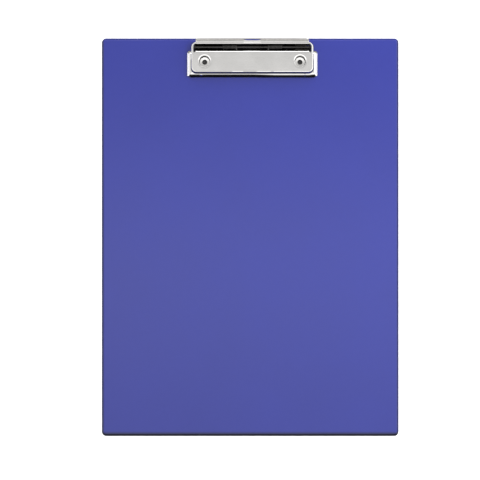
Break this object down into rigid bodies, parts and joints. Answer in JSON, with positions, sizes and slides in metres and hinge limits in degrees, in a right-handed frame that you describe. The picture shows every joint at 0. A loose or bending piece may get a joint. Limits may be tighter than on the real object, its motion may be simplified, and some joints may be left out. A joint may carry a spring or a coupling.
{
  "type": "clipboard",
  "caption": "Flat clipboard for A4 paper: a film-covered stiff board with a riveted, spring-loaded lever clip at its top edge.",
  "frame": {"origin": "centre of the board's back face, the face that it rests on", "axes": "+Y towards the clip end, +X to the right seen from the writing face, +Z out of the writing face"},
  "size_m": [0.235, 0.315, 0.016],
  "materials": {
    "greyboard": "raw grey fibre board, sealed inside the films",
    "blue_film": "semi-gloss soft plastic film with a very fine grain and a welded edge",
    "bright_plate": "bright nickel plating on pressed steel sheet",
    "steel_pin": "drawn steel rod, lightly oiled",
    "spring_wire": "dark drawn spring wire",
    "rivet_plate": "nickel-plated tubular rivet and washer"
  },
  "bodies": {
    "clipboard": {"board_core": "greyboard", "front_cover": "blue_film", "back_cover": "blue_film", "clip_plate": "bright_plate", "hinge_pin": "steel_pin", "torsion_spring_left": "spring_wire", "torsion_spring_right": "spring_wire", "rivet_left": "rivet_plate", "rivet_right": "rivet_plate", "washer_left": "rivet_plate", "washer_right": "rivet_plate"},
    "jaw": {"jaw_lever": "bright_plate"}
  },
  "joints": [
    {"name": "jaw_hinge", "type": "hinge", "parent": "clipboard", "child": "jaw", "pos_m": [0.0016, 0.1498, 0.0072], "axis": [-1, 0, 0], "range_deg": [0, 16], "stiffness_Nm_per_rad": 0.35, "springref_deg": -63.03, "deforming": ["torsion_spring_left", "torsion_spring_right"]}
  ]
}
